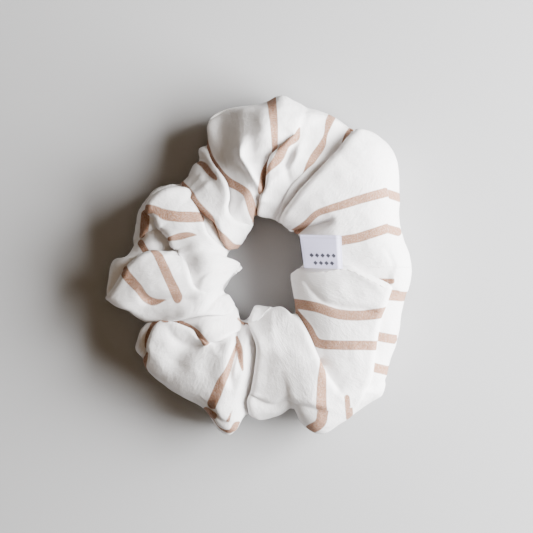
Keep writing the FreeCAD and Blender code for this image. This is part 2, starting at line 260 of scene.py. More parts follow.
# Stripes woven across the cloth: (points, half-widths, runs on down the wall at either end,
# side of the long seam that it keeps to: -1 inside, 1 outside, 0 either).
STRIPES = [
    ([(4.4, 58.6), (5.2, 50), (5.4, 41.7), (4.6, 38.5)], [1.7, 1.4, 1, 0.4], 1, 0, 0),
    ([(3.8, 38.5), (2.4, 34), (1.6, 29.5), (0.8, 27)], [0.6, 1.7, 1.9, 1.5], 0, 0, 0),
    ([(1.9, 27.3), (1.7, 23.5)], [0.5], 0, 0, 0),
    ([(14.5, 49.3), (13.1, 45.4), (10.2, 42.8), (8, 38.3), (5.7, 34.5), (4.1, 31.6)],
     [0.4, 1.4, 1.5, 1.2, 0.8, 0.4], 0, 0, 0),
    ([(26.3, 54.7), (25, 51.8), (23.7, 47.3), (22.4, 43.5), (19.9, 39.6), (17.9, 36.4),
      (15.4, 32.2)], [1.5, 1.4, 0.7, 1.3, 1.5, 1.3, 0.3], 1, 0, 0),
    ([(33.8, 51), (31.3, 47.3), (29.9, 44.4)], [0.8, 0.8, 0.4], 1, 0, 0),
    ([(44.9, 26.4), (35.9, 23.9), (29.5, 21.9), (24.3, 20.3), (20.5, 18.7), (17.2, 15.4),
      (13, 11.2)], [1.7, 1.6, 1.5, 1.3, 1.1, 1, 1], 0, 1, -1),
    ([(46.5, 25.8), (50.4, 24.8)], [1.6], 1, 0, 1),
    ([(46.1, 13.8), (41.3, 12.2), (34.9, 10.2), (29.7, 9.3), (24, 8)], [1.7], 0, 0, -1),
    ([(47.1, 13.1), (49.7, 12.5)], [1.6], 1, 0, 1),
    ([(42.9, -5.2), (47.4, -5.2)], [1.0], 0, 0, 0),
    ([(44.3, -15.7), (36.7, -17.4), (28.2, -17), (19.7, -14.4), (10.3, -13.1)], [1.8], 0, 1, -1),
    ([(40.9, -28), (28.2, -28), (20.5, -27.1), (17.1, -22.1), (12.9, -17)],
     [1.7, 1.7, 1.7, 1.8, 1.6], 0, 1, -1),
    ([(47, -10.6), (53.5, -11)], [1.8], 1, 0, 1),
    ([(42.2, -25), (49, -26.3)], [1.7], 1, 0, 1),
    ([(40.9, -36.1), (47.3, -37.8)], [1.7], 1, 0, 1),
    ([(22.2, -51), (21.8, -43.3), (21, -33.9)], [2, 1.6, 0.9], 0, 0, -1),
    ([(22.6, -51.5), (21.8, -56), (18.4, -58.6)], [2], 1, 0, 1),
    ([(31.6, -50.1), (31.1, -46.7)], [1.0], 0, 0, -1),
    ([(32, -51), (32.4, -54.3)], [1.4], 1, 0, 1),
    ([(-16.8, -49.1), (-13.7, -41.5), (-11.2, -36.7), (-8.1, -27.7)], [1.9, 1.7, 1.1, 0.4],
     0, 0, 0),
    ([(-19.1, -51.4), (-16.3, -53.5)], [1.1], 0, 0, 0),
    ([(-6, -37), (-6.7, -33.1), (-7.1, -29), (-8.2, -25.3)], [0.4, 1, 1, 0.5], 0, 0, 0),
    ([(-16.8, -55.3), (-13.7, -58.4), (-10.2, -59.1), (-8.1, -56.7)], [0.5, 0.8, 1.2, 1.5],
     1, 0, 0),
    ([(-9.7, -51.2), (-11.2, -54.8)], [0.2, 0.6], 0, 0, 0),
    ([(-35.2, -21.2), (-37.6, -23.6), (-39.4, -26.5), (-40, -29)], [0.8, 1, 1.1], 0, 0, 0),
    ([(-41, -35), (-39.5, -31.5)], [1.6, 1.2], 1, 0, 0),
    ([(-34.2, -22.1), (-33.4, -22.1)], [0.7], 0, 0, 0),
    # This stripe under a fold's edge is widened to paint in the shade of the crease beside it.
    ([(-37, -18.9), (-31.8, -19.8), (-26.5, -21.4), (-22.8, -23.8), (-19.7, -27)],
     [1.3, 1.4, 1.4, 1.5, 1.6], 0, 0, 0),
    ([(-47.5, -1.2), (-45.6, -4.7), (-43, -7.6), (-40.5, -10.5), (-37.3, -11.9),
      (-33.2, -11.3)], [1.4, 1.6, 1.4, 1.1, 0.9, 0.1], 0, 0, 0),
    ([(-38.8, 4.6), (-36, 2), (-33.7, -1.5), (-32.1, -5), (-29.5, -10.5)],
     [0.6, 1.3, 1.6, 1.6, 1.7], 0, 0, 0),
    ([(-42.7, 8.4), (-40.5, 4.9)], [1.2], 0, 0, 0),
    ([(-42.7, 11.7), (-41.4, 15.8), (-39.8, 20)], [1.5], 0, 0, 0),
    ([(-38.8, 20), (-35.3, 20), (-30.5, 18.4), (-25.7, 17.3), (-21.5, 16.8)],
     [1, 0.9, 1.5, 1.7, 1.6], 0, 0, 0),
    ([(-30.5, 11), (-27.9, 11), (-25.3, 11.3), (-22.8, 10.9)], [1, 1.4, 1.1, 0.1], 0, 0, 0),
    ([(-27, 31.6), (-24.8, 29), (-23, 26.6), (-21.2, 23.8), (-18.8, 20.8), (-16.6, 18),
      (-15.2, 15.5), (-13.5, 12.8), (-11.6, 10.6), (-8.3, 7)],
     [1.2, 1.2, 1.2, 1.2, 1.3, 1.4, 1.5, 1.6, 1.7, 1.7], 1, 1, 0),
    ([(-23.7, 38.1), (-22.1, 36.2), (-20.1, 33.4), (-18.2, 31), (-17.4, 29.9)],
     [0.5, 0.6, 0.6, 0.5, 0.3], 1, 0, 0),
    ([(-19.5, 43.3), (-18.2, 39.2), (-16.2, 35.6), (-13.5, 32.3), (-10.7, 30.1), (-7.1, 28.1),
      (-4.5, 26), (-3.3, 22.7), (-2.2, 19.4), (-1.1, 17.2)],
     [1.5, 1.6, 1.8, 1.7, 1.5, 1.4, 1.5, 1.6, 1.7, 1.7], 1, 1, 0),
    ([(-12.8, 5.9), (-10.9, 4.3)], [0.5], 0, 1, 0),
    ([(-24, -16.6), (-21.5, -16.1)], [0.4], 0, 0, 0),
    ([(-8.2, -17.8), (-4.8, -19.4), (-2, -21.8)], [0.4, 1, 0.7], 0, 0, 0),
    ([(-0.5, -40.8), (-1.4, -45)], [0.3, 1], 0, 0, 0),
]
FAR = 50.0               # stands for no stripe or seam nearby
STRIPE_REACH = 8
SEAM_REACH = 40
STRIPE_DOWN = 1.5        # a stripe with no open end stops this far down the wall


# ---- curves ---------------------------------------------------------------------------------
def smooth_line(points, values=None, closed=False, step=1.0):
    """Catmull-Rom curve through the points, with the values spread evenly along them."""
    p = np.array(points, float)
    if values is not None:
        places = np.linspace(0, 1, len(p))
        spread = np.interp(places, np.linspace(0, 1, len(values)), values)
        p = np.column_stack([p, spread])
    if closed:
        ends = np.vstack([p[-1], p, p[0], p[1]])
    else:
        ends = np.vstack([2 * p[0] - p[1], p, 2 * p[-1] - p[-2]])
    parts = []
    for a, b, c, d in zip(ends, ends[1:], ends[2:], ends[3:]):
        count = max(2, int(np.ceil(np.linalg.norm((c - b)[:2]) / step)))
        t = np.linspace(0, 1, count, endpoint=False)[:, None]
        parts.append(0.5 * (2 * b + (c - a) * t + (2 * a - 5 * b + 4 * c - d) * t ** 2
                            + (3 * b - a - 3 * c + d) * t ** 3))
    if not closed:
        parts.append(p[-1:])
    return np.vstack(parts)


def longer(line, before, after):
    """The line carried straight on past its ends, by before and after millimetres."""
    parts = [line]
    if before:
        away = line[0, :2] - line[2, :2]
        start = line[0].copy()
        start[:2] += away / np.linalg.norm(away) * before
        parts.insert(0, start[None])
    if after:
        away = line[-1, :2] - line[-3, :2]
        end = line[-1].copy()
        end[:2] += away / np.linalg.norm(away) * after
        parts.append(end[None])
    return np.vstack(parts)


def measure(line, places, reach):
    """For each place: distance to the line, +1 on its left or -1, value there, way along it.

    Places further off than reach get a large distance."""
    near = np.full(len(places), 1e3)
    side = np.ones(len(places))
    value = np.zeros(len(places))
    along = np.zeros(len(places))
    low = line[:, :2].min(0) - reach
    high = line[:, :2].max(0) + reach
    chosen = np.flatnonzero(((places > low) & (places < high)).all(1))
    here = places[chosen]
    best = np.full(len(here), 1e3)
    run = 0.0
    for a, b in zip(line, line[1:]):
        ab = b[:2] - a[:2]
        length = np.hypot(*ab)
        if length < 1e-6:
            continue
        ap = here - a[:2]
        t = np.clip(ap @ ab / length ** 2, 0, 1)
        off = ap - t[:, None] * ab
        d = np.hypot(off[:, 0], off[:, 1])
        nearer = d < best
        best = np.where(nearer, d, best)
        cross = ab[0] * ap[:, 1] - ab[1] * ap[:, 0]
        index = chosen[nearer]
        near[index] = d[nearer]
        side[index] = np.where(cross[nearer] >= 0, 1.0, -1.0)
        along[index] = run + t[nearer] * length
        if line.shape[1] > 2:
            value[index] = (a[2] + (b[2] - a[2]) * t[nearer])
        run += length
    return near, side, value, along, run


def smoothstep(x, low, high):
    """0 below low and 1 above high, eased between them."""
    t = np.clip((x - low) / (high - low), 0, 1)
    return t * t * (3 - 2 * t)


def silhouette(points, angles, outermost):
    """Radius at which a ray at each angle crosses the closed outline."""
    line = smooth_line(points, closed=True, step=OUTLINE_STEP)
    line = np.vstack([line, line[:1]])
    radii = []
    for angle in angles:
        ahead = line @ np.array([math.cos(angle), math.sin(angle)])
        aside = line @ np.array([-math.sin(angle), math.cos(angle)])
        t = np.flatnonzero((aside[:-1] > 0) != (aside[1:] > 0))
        share = aside[t] / (aside[t] - aside[t + 1])
        cross = ahead[t] + (ahead[t + 1] - ahead[t]) * share
        cross = cross[cross > 0]
        radii.append(cross.max() if outermost else cross.min())
    return np.array(radii)


def around(values, passes):
    """Smooths values round the ring."""
    for _ in range(passes):
        values = 0.5 * values + 0.25 * (np.roll(values, 1, 0) + np.roll(values, -1, 0))
    return values


NOISE_WAVES = 24
NOISE_SPREAD = (0.7, 1.5)    # the waves' lengths, as shares of the wavelength asked for
NOISE_LEVEL = 0.6


class Noise:
    """Smooth seeded noise in space, as a sum of sine waves."""

    def __init__(self, seed, wavelength):
        rng = np.random.default_rng(seed)
        directions = rng.normal(size=(NOISE_WAVES, 3))
        directions /= np.linalg.norm(directions, axis=1)[:, None]
        lengths = wavelength * rng.uniform(*NOISE_SPREAD, NOISE_WAVES)
        self.waves = directions * (2 * math.pi / lengths)[:, None]
        self.phases = rng.uniform(0, 2 * math.pi, NOISE_WAVES)

    def at(self, places):
        """About -1 to 1 at each place."""
        total = np.zeros(len(places))
        for wave, phase in zip(self.waves, self.phases):
            total += np.sin(places @ wave + phase)
        return total * math.sqrt(2 / NOISE_WAVES) * NOISE_LEVEL


# ---- the cover ------------------------------------------------------------------------------
def crest_at(angles):
    """Crest height at each angle."""
    marks = np.array(CRESTS + [(360 + CRESTS[0][0], CRESTS[0][1])], float)
    share = np.interp(np.degrees(angles) % 360, marks[:, 0], marks[:, 1])
    return around(share, CREST_PASSES) * CREST


def label_side(angles):
    """1 where the ring carries the label, falling to 0 away from it."""
    off = (np.degrees(angles) - LABEL_AT + 180) % 360 - 180
    return np.exp(-(off / LABEL_REACH) ** 2)


def base_surface():
    """Smooth gathered tube: an array of places, steps round the ring by steps round the tube."""
    angles = np.arange(ROUND) * 2 * math.pi / ROUND
    inner = around(silhouette(INNER, angles, False), INNER_PASSES)
    outer = around(silhouette(OUTER, angles, True), OUTER_PASSES)
    crest = crest_at(angles)
    inner_shoulder = INNER_SHOULDER + LABEL_SHOULDER * label_side(angles)
    lean = LEAN * np.cos(angles)
    turn = np.linspace(0, 2 * math.pi, SECTION_STEPS + 1)
    c, s = np.cos(turn), np.sin(turn)
    places = np.zeros((ROUND, OVER + UNDER, 3))
    for i, angle in enumerate(angles):
        half = (outer[i] - inner[i]) / 2
        middle = (outer[i] + inner[i]) / 2 + half * lean[i]
        mid = MID_SHARE * crest[i]
        shoulder = np.where(c >= 0, OUTER_SHOULDER, inner_shoulder[i])
        power = np.where(s >= 0, shoulder, LOWER_HALF)
        reach = np.where(c >= 0, outer[i] - middle, middle - inner[i])
        r = middle + reach * np.sign(c) * np.abs(c) ** (2 / power)
        tall = np.where(s >= 0, crest[i] - mid, mid)
        z = mid + tall * np.sign(s) * np.abs(s) ** (2 / power)
        run = np.concatenate([[0], np.cumsum(np.hypot(np.diff(r), np.diff(z)))])
        top = run[SECTION_STEPS // 2]
        stops = np.concatenate([np.linspace(0, top, OVER, endpoint=False),
                                np.linspace(top, run[-1], UNDER, endpoint=False)])
        r, z = np.interp(stops, run, r), np.interp(stops, run, z)
        places[i] = np.column_stack([r * math.cos(angle), r * math.sin(angle), z])
    return places


def normals_of(places):
    """Outward normals of the periodic grid."""
    round_way = np.roll(places, -1, 0) - np.roll(places, 1, 0)
    over_way = np.roll(places, -1, 1) - np.roll(places, 1, 1)
    normal = np.cross(round_way, over_way)
    return normal / np.linalg.norm(normal, axis=2, keepdims=True)


def plan_places(places):
    """Where each vertex looks its creases and stripes up.

    On top it is the vertex's own plan.  Below the widest part it is the inner silhouette on the
    inner wall, and the outer silhouette from there on, so that they carry on down both walls."""
    plan = places[:, :, :2].copy()
    foot = OVER + UNDER // 5
    plan[:, OVER:foot] = places[:, OVER:OVER + 1, :2]
    plan[:, foot:] = places[:, :1, :2]
    return plan


def crease_depths(plan, down):
    """Depth of the creases at each place, and the sideways push of their overhanging lips."""
    total = np.zeros(len(plan))
    roll = np.zeros(len(plan))
    push = np.zeros((len(plan), 2))
    for points, depths, upper, outer_end, inner_end, slope in CREASES:
        line = longer(smooth_line(points, depths), RUN_ON * outer_end, RUN_ON * inner_end)
        near, side, depth, along, run = measure(line, plan, SLOPES * slope + MARGIN)
        start = 1.0 if outer_end else smoothstep(along, *FADE)
        finish = 1.0 if inner_end else smoothstep(run - along, *FADE)
        carry = np.where(down > 0, max(outer_end, inner_end), 1.0)
        fade = np.exp(-down / DOWN_FADE) * (1 - carry) + carry
        depth = DEPTH * np.maximum(depth, 0) * start * finish * fade
        gentle = np.exp(-near / slope)
        steep = np.exp(-(near / LIP) ** LIP_POWER)
        if upper == "B":
            profile = 0.5 * gentle + 0.5 * steep
        else:
            lower = side == (-1 if upper == "L" else 1)
            profile = np.where(lower, gentle, steep)
            lap = LAP * depth * (near / LAP_AWAY) * np.exp(1 - near / LAP_AWAY) * (~lower)
            tangent = np.gradient(line[:, :2], axis=0)
            tangent /= np.linalg.norm(tangent, axis=1)[:, None]
            steps = np.hypot(*np.diff(line[:, :2], axis=0).T)
            marks = np.concatenate([[0], np.cumsum(steps)])
            way_x = np.interp(along, marks, tangent[:, 0])
            way_y = np.interp(along, marks, tangent[:, 1])
            across = np.column_stack([-way_y, way_x])
            push += across * (lap * (-1 if upper == "L" else 1))[:, None]
            stand = np.exp(-((near - ROLL_AWAY) / ROLL_WIDE) ** 2)
            roll += ROLL * depth * stand * (~lower)
        total += (depth * profile) ** CREASE_SUM
    return total ** (1 / CREASE_SUM) - roll, push


def folds(plan):
    """Height that ridges and swells add at each place, below 0 in a hollow."""
    height = np.zeros(len(plan))
    for points, tall, width in RIDGES:
        reach = FOLD_WIDTHS * width + FOLD_MARGIN
        near, _, _, along, run = measure(smooth_line(points), plan, reach)
        ends = smoothstep(along, *FOLD_FADE) * smoothstep(run - along, *FOLD_FADE)
        height += tall * np.exp(-(near / width) ** 2) * ends
    for start, end, width, tall in SWELLS:
        near = measure(np.array([start, end], float), plan, FOLD_WIDTHS * width)[0]
        height += tall * np.exp(-(near / width) ** 2)
    return height


def stripe_distance(plan, down):
    """Signed distance from the edge of the nearest stripe, negative inside it."""
    seam_near, seam_side = measure(smooth_line(LONG_SEAM), plan, SEAM_REACH)[:2]
    outside = seam_near * seam_side
    nearest = np.full(len(plan), FAR)
    for points, widths, outer_end, inner_end, keep in STRIPES:
        line = longer(smooth_line(points, widths), RUN_ON * outer_end, RUN_ON * inner_end)
        near, _, width, _, _ = measure(line, plan, STRIPE_REACH)
        distance = near - width
        if keep:
            distance = np.maximum(distance, -keep * outside)
        if not (outer_end or inner_end):
            distance = np.where(down > STRIPE_DOWN, FAR, distance)
        nearest = np.minimum(nearest, distance)
    return nearest


def build_cover():
    """The gathered cloth tube, as a grid of places, with each one's plan place and how far below
    the widest part it lies.
    """
    base = base_surface()
    normal = normals_of(base)
    count = ROUND * (OVER + UNDER)
    plan = plan_places(base).reshape(count, 2)
    flat = base.reshape(count, 3)
    n = normal.reshape(count, 3)
    middle = np.repeat(base[:, 0, 2], OVER + UNDER)
    is_under = (np.arange(count) % (OVER + UNDER)) >= OVER
    down = np.where(is_under, np.maximum(middle - flat[:, 2], 0), 0)
    depth, push = crease_depths(plan, down)
    height = folds(plan)
    rise = np.where(is_under, 0, smoothstep(n[:, 2], *UP_FACING))
    level = smoothstep(flat[:, 2], *OFF_SURFACE)
    moved = flat.copy()
    moved[:, 2] -= depth * rise
    moved[:, 2] += height * rise
    wall = (1 - rise) * WALL_SHARE * level * (1 - smoothstep(-n[:, 2], *DOWN_FACING))
    moved -= n * (depth * wall)[:, None]
    moved[:, :2] += push * rise[:, None]
    moved += n * (gathers(flat, n) * level)[:, None]
    moved -= n * wall_tucks(flat, middle, is_under)[:, None]
    moved += n * (wrinkles(flat) * (WRINKLE_LOW + (1 - WRINKLE_LOW) * level))[:, None]
    grid = relax(moved.reshape(base.shape))
    grid[:, :, 2] = np.maximum(grid[:, :, 2], LIE)
    return grid, plan, down


def turn_from(angle, place):
    """Signed angle from a place round the ring, between -pi and pi."""
    return (angle - place + math.pi) % (2 * math.pi) - math.pi


def gathers(flat, n):
    """Small radial tucks where the cloth crowds in at the hole and under the ring."""
    angle = np.arctan2(flat[:, 1], flat[:, 0])
    rng = np.random.default_rng(SEED)
    total = np.zeros(len(flat))
    for _ in range(GATHERS):
        place = rng.uniform(-math.pi, math.pi)
        width = rng.uniform(*GATHER_WIDTH)
        tall = rng.uniform(*GATHER_TALL)
        total += tall * np.exp(-(turn_from(angle, place) / width) ** 2)
    facing_hole = -(n[:, 0] * flat[:, 0] + n[:, 1] * flat[:, 1]) / np.hypot(flat[:, 0], flat[:, 1])
    inside = smoothstep(facing_hole, *FACING_HOLE)
    down = smoothstep(-n[:, 2], *TURNING_DOWN)
    inside = inside * (GATHER_SHOULDER + (1 - GATHER_SHOULDER) * down)
    lower = smoothstep(-n[:, 2], *FACING_SURFACE)
    return (total - GATHER_MEAN) * np.maximum(inside, GATHER_UNDER * lower)


def wall_tucks(flat, middle, is_under):
    """Tucks that run down the outer wall from its widest part and on under the ring."""
    angle = np.arctan2(flat[:, 1], flat[:, 0])
    radius = np.hypot(flat[:, 0], flat[:, 1])
    rng = np.random.default_rng(SEED + 5)
    total = np.zeros(len(flat))
    share = np.clip((middle - flat[:, 2]) / middle, 0, 1)
    for _ in range(TUCKS):
        place = rng.uniform(-math.pi, math.pi)
        width = rng.uniform(*TUCK_WIDTH)
        depth = rng.uniform(*TUCK_DEPTH)
        drift = rng.uniform(-TUCK_DRIFT, TUCK_DRIFT)
        off = turn_from(angle, place + drift * share)
        near = np.clip(1 - np.abs(off) / width, 0, 1)
        total = np.maximum(total, depth * near ** TUCK_POWER)
    pressed = 1 - TUCK_PRESSED * smoothstep(share, *TUCK_FLAT)
    ramp = smoothstep(share, 0.0, TUCK_FULL) * pressed
    return total * is_under * ramp * smoothstep(radius, *TUCK_RADII)


def wrinkles(flat):
    """Fine unevenness of soft cotton."""
    total = np.zeros(len(flat))
    for k, (tall, wavelength) in enumerate(WRINKLES):
        total += tall * Noise(SEED + 1 + k, wavelength).at(flat)
    return total


def relax(grid):
    """Rounds the mesh off a little, so that no crease is sharper than cloth can be."""
    for _ in range(RELAX_PASSES):
        near = (np.roll(grid, 1, 0) + np.roll(grid, -1, 0)
                + np.roll(grid, 1, 1) + np.roll(grid, -1, 1)) / 4
        grid = KEEP * grid + (1 - KEEP) * near
    return grid


def grid_mesh(name, grid, attributes):
    """Mesh of a grid that closes on itself both ways."""
    rows, columns = grid.shape[:2]
    i, j = np.meshgrid(np.arange(rows), np.arange(columns), indexing="ij")
    i2, j2 = (i + 1) % rows, (j + 1) % columns
    faces = np.stack([i * columns + j, i2 * columns + j, i2 * columns + j2, i * columns + j2],
                     axis=-1).reshape(-1, 4)
    mesh = bpy.data.meshes.new(name)
    mesh.from_pydata((grid.reshape(-1, 3) * MM).tolist(), [], faces.tolist())
    for key, kind, values in attributes:
        attribute = mesh.attributes.new(key, kind, "POINT")
        field = "value" if kind == "FLOAT" else "vector"
        attribute.data.foreach_set(field, np.ascontiguousarray(values, np.float32).ravel())
    mesh.polygons.foreach_set("use_smooth", [True] * len(faces))
    mesh.update()
    piece = bpy.data.objects.new(name, mesh)
    bpy.context.scene.collection.objects.link(piece)
    return piece


def apply_modifiers(piece):
    """Makes the piece's modifiers part of its mesh."""
    graph = bpy.context.evaluated_depsgraph_get()
    mesh = bpy.data.meshes.new_from_object(piece.evaluated_get(graph))
    piece.modifiers.clear()
    piece.data = mesh


WEAVE_R = 36             # the ring's mean radius, which sets the scale of the weave


def cloth_places(grid):
    """Distances along the tube and round it, for the weave."""
    rows, columns = grid.shape[:2]
    round_mm = np.linspace(0, 2 * math.pi * WEAVE_R, rows, endpoint=False)
    steps = np.linalg.norm(np.diff(grid, axis=1), axis=2)
    over_mm = np.concatenate([np.zeros((rows, 1)), np.cumsum(steps, axis=1)], axis=1)
    return np.stack([np.repeat(round_mm[:, None], columns, 1), over_mm,
                     np.zeros((rows, columns))], axis=-1)


def make_cover(material):
    """The cloth tube, and the grid of places that it is made from."""
    grid, plan, down = build_cover()
    stripe = stripe_distance(plan, down)
    cover = grid_mesh("cloth_tube", grid, [
        ("stripe", "FLOAT", stripe),
        ("weave", "FLOAT_VECTOR", cloth_places(grid)),
    ])
    cover.data.materials.append(material)
    thick = cover.modifiers.new("thickness", "SOLIDIFY")
    thick.thickness = CLOTH * MM
    thick.offset = -1
    apply_modifiers(cover)
    return cover, grid


# ---- materials ------------------------------------------------------------------------------
COTTON = ((0.765, 0.75, 0.755, 1), (0.80, 0.79, 0.79, 1))
STRIPE = (0.255, 0.127, 0.07, 1)
STRIPE_EDGE = 0.14       # millimetres over which a stripe's edge fades
SURFACE = (0.355, 0.358, 0.365, 1)
THREAD = (0.80, 0.77, 0.74, 1)
ELASTIC = ((0.62, 0.61, 0.58, 1), (0.82, 0.81, 0.78, 1))
# The label's lavender colours, darkened as painted shade for its tilt away from the key light.
TAPE_AND_TILT_SHADE = (0.44, 0.43, 0.60, 1)
TAPE_BORDER_AND_TILT_SHADE = (0.38, 0.37, 0.52, 1)
MOTIF_THREAD = (0.03, 0.03, 0.045, 1)


def shader_material(name):
    """A material with its node tree's nodes and links and its shader."""
    material = bpy.data.materials.new(name)
    material.use_nodes = True
    nodes = material.node_tree.nodes
    return material, nodes, material.node_tree.links, nodes["Principled BSDF"]


def noise_texture(nodes, links, place, scale, detail):
    """Noise texture read at a place."""
    noise = nodes.new("ShaderNodeTexNoise")
    noise.inputs["Scale"].default_value = scale
    noise.inputs["Detail"].default_value = detail
    links.new(place, noise.inputs["Vector"])
    return noise


def colour_mix(nodes, links, factor, low, high):
    """Mix of two colours, where low may also be another node's output."""
    mix = nodes.new("ShaderNodeMix")
    mix.data_type = "RGBA"
    if isinstance(low, tuple):
        mix.inputs["A"].default_value = low
    else:
        links.new(low, mix.inputs["A"])
    mix.inputs["B"].default_value = high
    links.new(factor, mix.inputs["Factor"])
    return mix.outputs["Result"]


def map_range(nodes, links, value, low, high):
    """0 where the value is low, 1 where it is high."""
    ramp = nodes.new("ShaderNodeMapRange")
    ramp.inputs["From Min"].default_value = low
    ramp.inputs["From Max"].default_value = high
    links.new(value, ramp.inputs["Value"])
    return ramp


def attribute(nodes, name):
    """Node that reads an attribute of the mesh."""
    read = nodes.new("ShaderNodeAttribute")
    read.attribute_name = name
    return read


def bump(nodes, links, shader, height, strength, distance):
    """Puts a height into the shader's normal."""
    node = nodes.new("ShaderNodeBump")
    node.inputs["Strength"].default_value = strength
    node.inputs["Distance"].default_value = distance
    links.new(height, node.inputs["Height"])
    links.new(node.outputs["Normal"], shader.inputs["Normal"])


def object_wave(nodes, links, scale, direction):
    """Fine stripes in the object's own space, for threads and tape."""
    place = nodes.new("ShaderNodeTexCoord")
    wave = nodes.new("ShaderNodeTexWave")
    wave.bands_direction = direction
    wave.inputs["Scale"].default_value = scale
    wave.inputs["Distortion"].default_value = 1.0
    links.new(place.outputs["Object"], wave.inputs["Vector"])
    return wave


def cloth_material():
    """Off-white woven cotton with tan stripes."""
    material, nodes, links, shader = shader_material("striped_cotton")
    shader.inputs["Roughness"].default_value = 0.92
    shader.inputs["Specular IOR Level"].default_value = 0.15
    stripe = attribute(nodes, "stripe").outputs["Fac"]
    weave = attribute(nodes, "weave").outputs["Vector"]
    inside = map_range(nodes, links, stripe, STRIPE_EDGE, -STRIPE_EDGE)
    thread = noise_texture(nodes, links, weave, 2.2, 2)
    speckle = map_range(nodes, links, thread.outputs["Fac"], 0.35, 0.7)
    speckle.inputs["To Min"].default_value = 1.0
    speckle.inputs["To Max"].default_value = 0.8
    share = nodes.new("ShaderNodeMath")
    share.operation = "MULTIPLY"
    links.new(inside.outputs["Result"], share.inputs[0])
    links.new(speckle.outputs["Result"], share.inputs[1])
    slub = noise_texture(nodes, links, weave, 0.22, 4)
    ground = colour_mix(nodes, links, slub.outputs["Fac"], *COTTON)
    colour = colour_mix(nodes, links, share.outputs["Value"], ground, STRIPE)
    links.new(colour, shader.inputs["Base Color"])
    stretch = nodes.new("ShaderNodeMapping")
    stretch.inputs["Scale"].default_value = (1.0, 0.45, 1.0)
    links.new(weave, stretch.inputs["Vector"])
    grain = noise_texture(nodes, links, stretch.outputs["Vector"], 1.1, 5)
    grain.inputs["Roughness"].default_value = 0.65
    bump(nodes, links, shader, grain.outputs["Fac"], 0.55, 0.0006)
    return material


def floor_material():
    """Plain pale surface."""
    material, _, _, shader = shader_material("pale_surface")
    shader.inputs["Base Color"].default_value = SURFACE
    shader.inputs["Roughness"].default_value = 0.9
    shader.inputs["Specular IOR Level"].default_value = 0.1
    return material


def thread_material():
    """Twisted sewing thread."""
    material, nodes, links, shader = shader_material("spun_thread")
    shader.inputs["Base Color"].default_value = THREAD
    shader.inputs["Roughness"].default_value = 0.7
    wave = object_wave(nodes, links, 900.0, "DIAGONAL")
    bump(nodes, links, shader, wave.outputs["Fac"], 0.6, 0.0001)
    return material


def elastic_material():
    """Braided elastic, mottled by its threads."""
    material, nodes, links, shader = shader_material("braided_elastic")
    shader.inputs["Roughness"].default_value = 0.65
    place = nodes.new("ShaderNodeTexCoord")
    grain = noise_texture(nodes, links, place.outputs["Object"], 900, 2)
    shade = colour_mix(nodes, links, grain.outputs["Fac"], *ELASTIC)
    links.new(shade, shader.inputs["Base Color"])
    bump(nodes, links, shader, grain.outputs["Fac"], 0.4, 0.0001)
    return material


def label_material():
    """Satin tape with a woven motif and a faint selvedge line, in lavender colours darkened as
    painted shade for the label's tilt away from the light.
    """
    material, nodes, links, shader = shader_material("woven_tape")
    shader.inputs["Roughness"].default_value = 0.55
    shader.inputs["Sheen Weight"].default_value = 0.15
    border = attribute(nodes, "border").outputs["Fac"]
    line = map_range(nodes, links, border, 0.28, 0.1)
    ground = colour_mix(nodes, links, line.outputs["Result"], TAPE_AND_TILT_SHADE, TAPE_BORDER_AND_TILT_SHADE)
    woven = attribute(nodes, "motif").outputs["Fac"]
    mask = map_range(nodes, links, woven, MOTIF_EDGE, -MOTIF_EDGE)
    colour = colour_mix(nodes, links, mask.outputs["Result"], ground, MOTIF_THREAD)
    links.new(colour, shader.inputs["Base Color"])
    wave = object_wave(nodes, links, 700.0, "Y")
    bump(nodes, links, shader, wave.outputs["Fac"], 0.35, 0.0001)
    return material


# ---- thread, elastic and label ---------------------------------------------------------------
STITCH_R = 0.2
STITCH_LENGTH = 1.9
STITCH_PITCH = 2.6
STITCH_SIDES = 8
STITCH_RINGS = [(0.0, 0.35), (0.12, 0.85), (0.3, 1.0), (0.7, 1.0), (0.88, 0.85), (1.0, 0.35)]
SEAM_INSIDE = 1.2        # the long seam's thread lies this far inside the cloth
SEAM_COLUMN = 5          # elsewhere it keeps this many columns below the outer wall's widest part
SEAM_PASSES = 60         # smoothing of its column round the ring
PATH_PASSES = 6          # and of its path
TOPSTITCH_START = 0.3    # the topstitching starts this far along the closing seam
TOPSTITCH_RISE = 0.1     # and lies this far above the cloth
TOP_NEAREST = 12         # heights are read from this many vertices
TOP_FALL = 4             # leaving out those this far below the highest
THREAD_STEP = 0.5
CLOSING_SEAM = [(45, -7.6), (42.8, -6.6), (35.9, -3.1), (30.5, -1.0), (22, -2.1), (15.9, -2.2)]


def mesh_piece(name, vertices, faces, material, attributes=()):
    """A smooth-shaded mesh from places in millimetres."""
    mesh = bpy.data.meshes.new(name)
    mesh.from_pydata((np.array(vertices, float) * MM).tolist(), [], faces)
    for key, values in attributes:
        attribute = mesh.attributes.new(key, "FLOAT", "POINT")
        attribute.data.foreach_set("value", np.ascontiguousarray(values, np.float32))
    mesh.polygons.foreach_set("use_smooth", [True] * len(faces))
    mesh.update()
    mesh.materials.append(material)
    piece = bpy.data.objects.new(name, mesh)
    bpy.context.scene.collection.objects.link(piece)
    return piece


